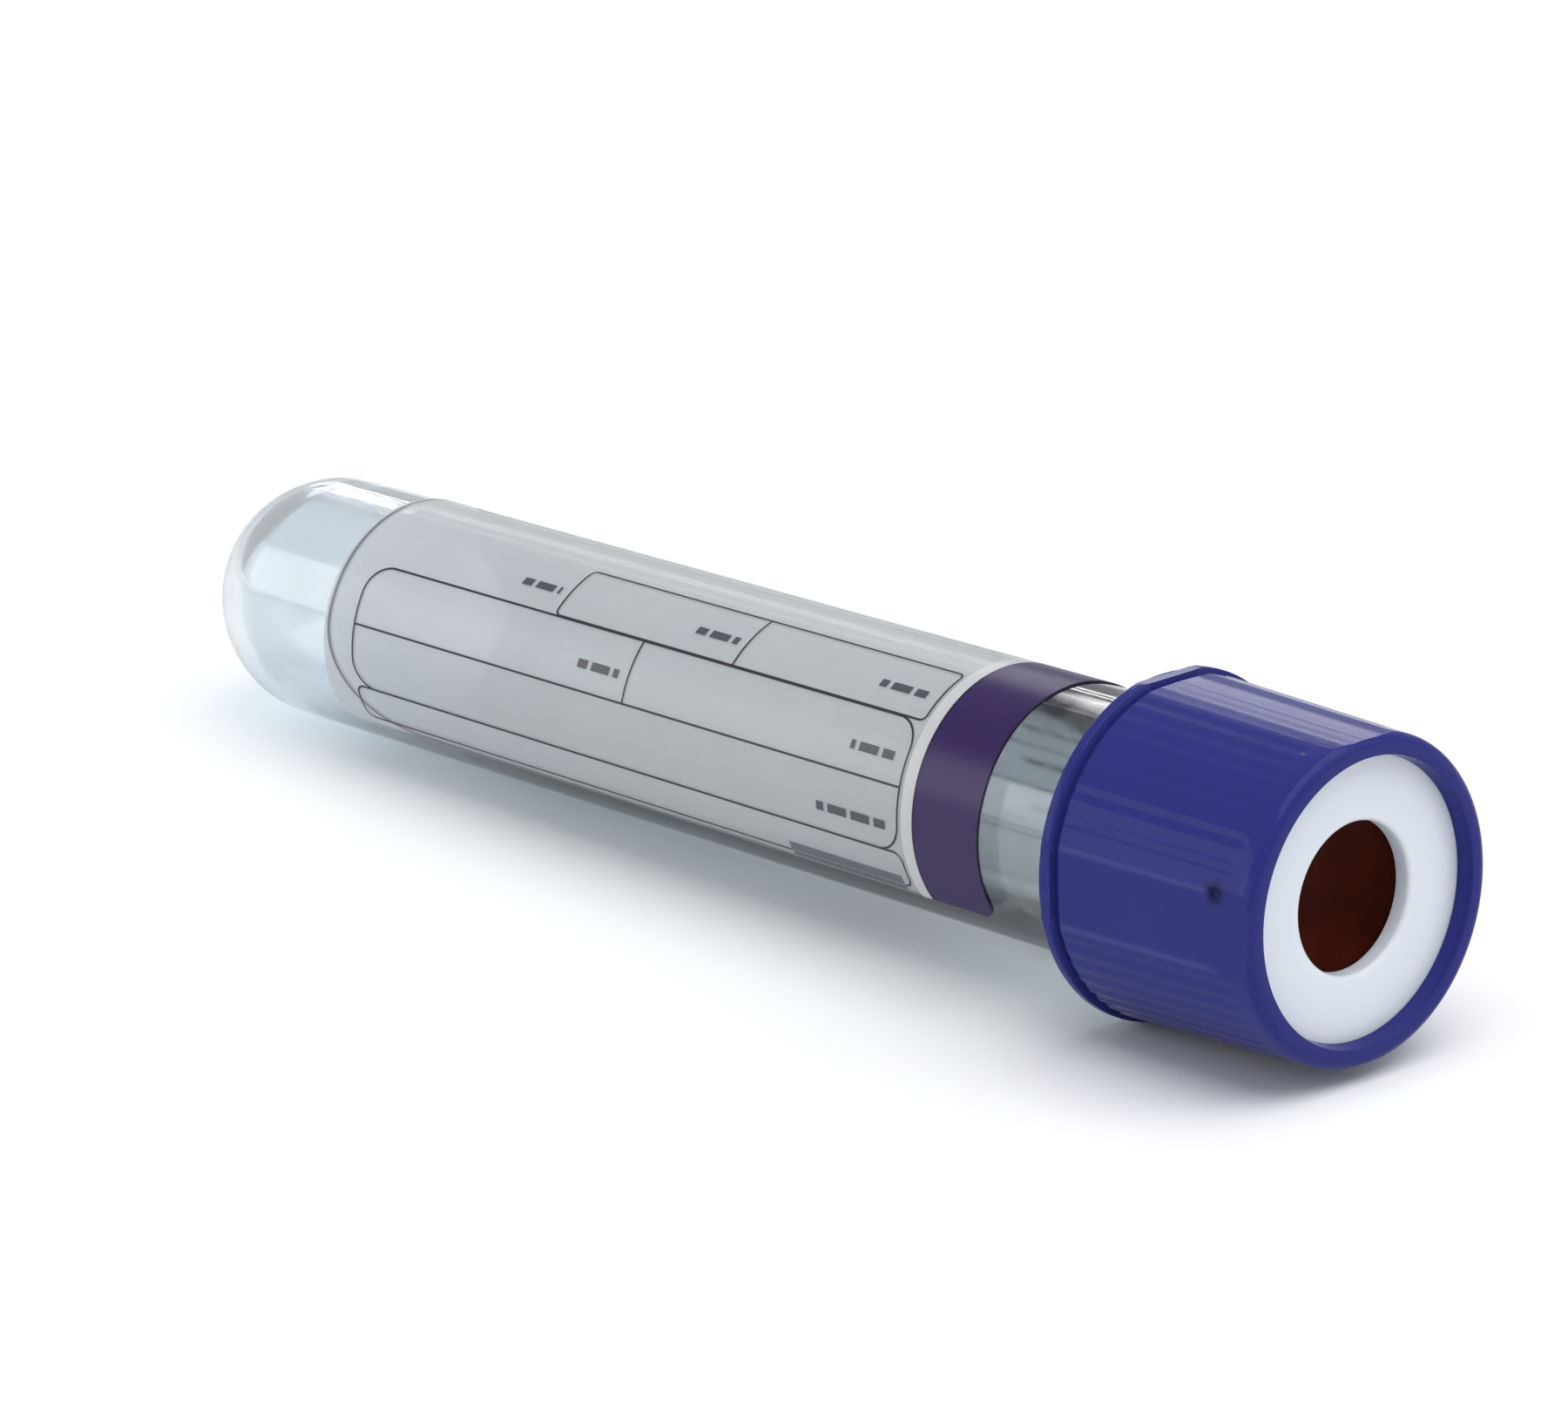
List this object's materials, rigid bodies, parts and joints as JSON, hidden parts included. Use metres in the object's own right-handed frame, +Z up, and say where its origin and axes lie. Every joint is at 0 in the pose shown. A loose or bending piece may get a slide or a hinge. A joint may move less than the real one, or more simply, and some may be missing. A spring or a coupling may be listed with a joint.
{
  "type": "blood collection tube",
  "caption": "Round-ended clear plastic blood collection tube with a wrap-round ruled label, a rubber stopper and a twist-off violet cap with a white colour ring, lying on its side.",
  "frame": {"origin": "on the floor under the middle of the closed tube's box, as it lies at rest on its round end and on the collar of its cap, one flat side down", "axes": "+X along the tube towards the cap, +Z up; the tube's own axis climbs 1.99 degrees from level towards the cap"},
  "size_m": [0.0792, 0.0166, 0.0166],
  "materials": {
    "clear_plastic": "clear, smooth moulded",
    "label_film": "satin printed film",
    "stopper_rubber": "smooth moulded rubber",
    "ring_plastic": "smooth moulded",
    "cap_plastic": "satin moulded"
  },
  "bodies": {
    "tube_body": {"tube": "clear_plastic", "label": "label_film"},
    "stopper_body": {"stopper": "stopper_rubber"},
    "cap_body": {"cap_shell": "cap_plastic", "cap_ring": "ring_plastic"}
  },
  "joints": [
    {"name": "cap_lift", "type": "slide", "parent": "tube_body", "child": "stopper_body", "axis": [0.9994, 0, 0.0347], "range_m": [0, 0.015]},
    {"name": "cap_twist", "type": "hinge", "parent": "stopper_body", "child": "cap_body", "pos_m": [0.03235, 0, 0.00848], "axis": [0.9994, 0, 0.0347], "range_deg": [0, 360]}
  ],
  "couplings": [
    {"joint": "cap_twist", "follows": "cap_lift", "rad_per_m": 418.88}
  ]
}
